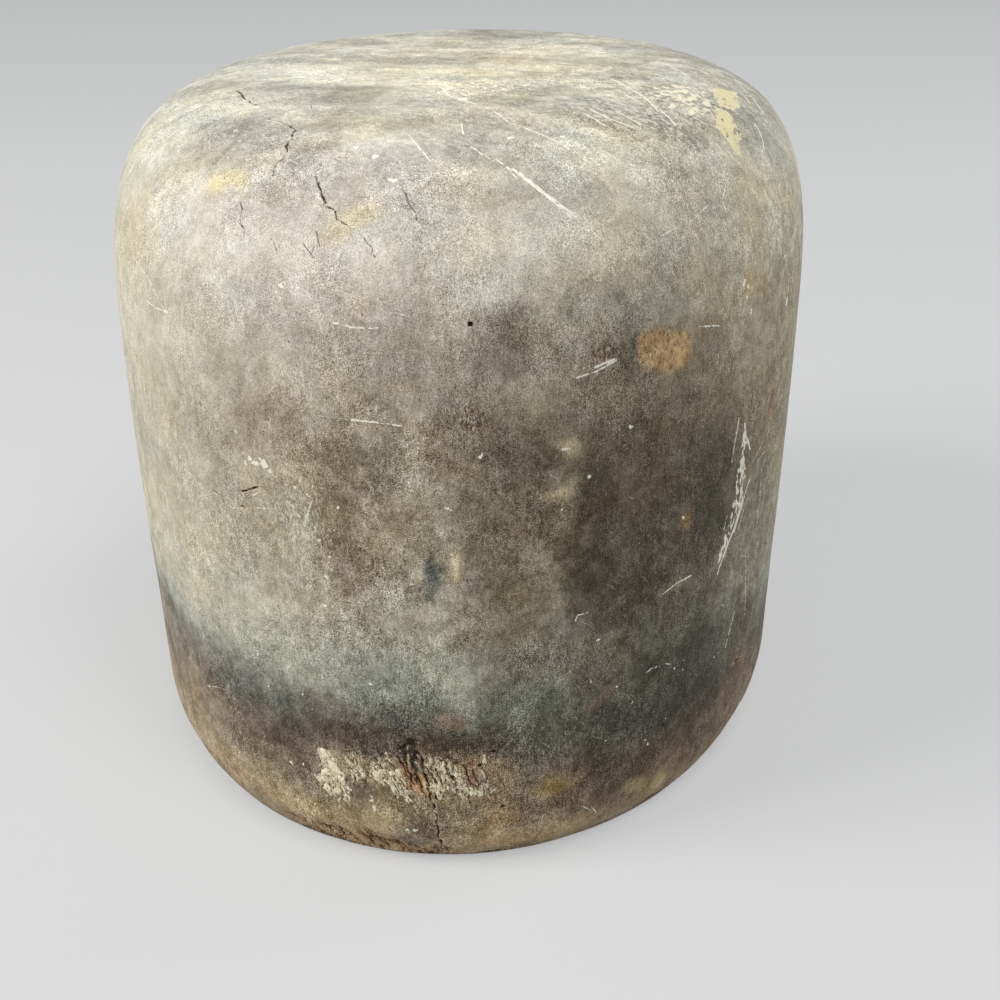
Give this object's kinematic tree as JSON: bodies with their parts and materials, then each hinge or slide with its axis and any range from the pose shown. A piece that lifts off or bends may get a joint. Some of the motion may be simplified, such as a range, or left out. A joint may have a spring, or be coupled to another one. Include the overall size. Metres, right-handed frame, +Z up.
{
  "type": "hat block",
  "caption": "Oval solid-timber crown block for shaping hats, flat-topped with broad round shoulders, with an iron spindle socket let into its base.",
  "frame": {"origin": "middle of the base's oval, on the surface that the block stands on", "axes": "+Z up through the crown; -Y towards the front of the head oval, where the worn pin band is; the oval's long way lies along Y"},
  "size_m": [0.165, 0.196, 0.162],
  "materials": {
    "crown_timber": "bare timber, grey with age and water, matt",
    "socket_iron": "bare cast iron, darkened",
    "screw_steel": "old dull steel",
    "tack_iron": "rusted iron"
  },
  "bodies": {
    "root": {"crown_block": "crown_timber", "spindle_socket": "socket_iron", "socket_screw_1": "screw_steel", "socket_screw_2": "screw_steel", "socket_screw_3": "screw_steel", "socket_screw_4": "screw_steel", "tack_shank_1": "tack_iron", "tack_shank_2": "tack_iron", "tack_shank_3": "tack_iron", "tack_shank_4": "tack_iron", "tack_shank_5": "tack_iron", "tack_shank_6": "tack_iron", "tack_shank_7": "tack_iron"}
  },
  "joints": []
}
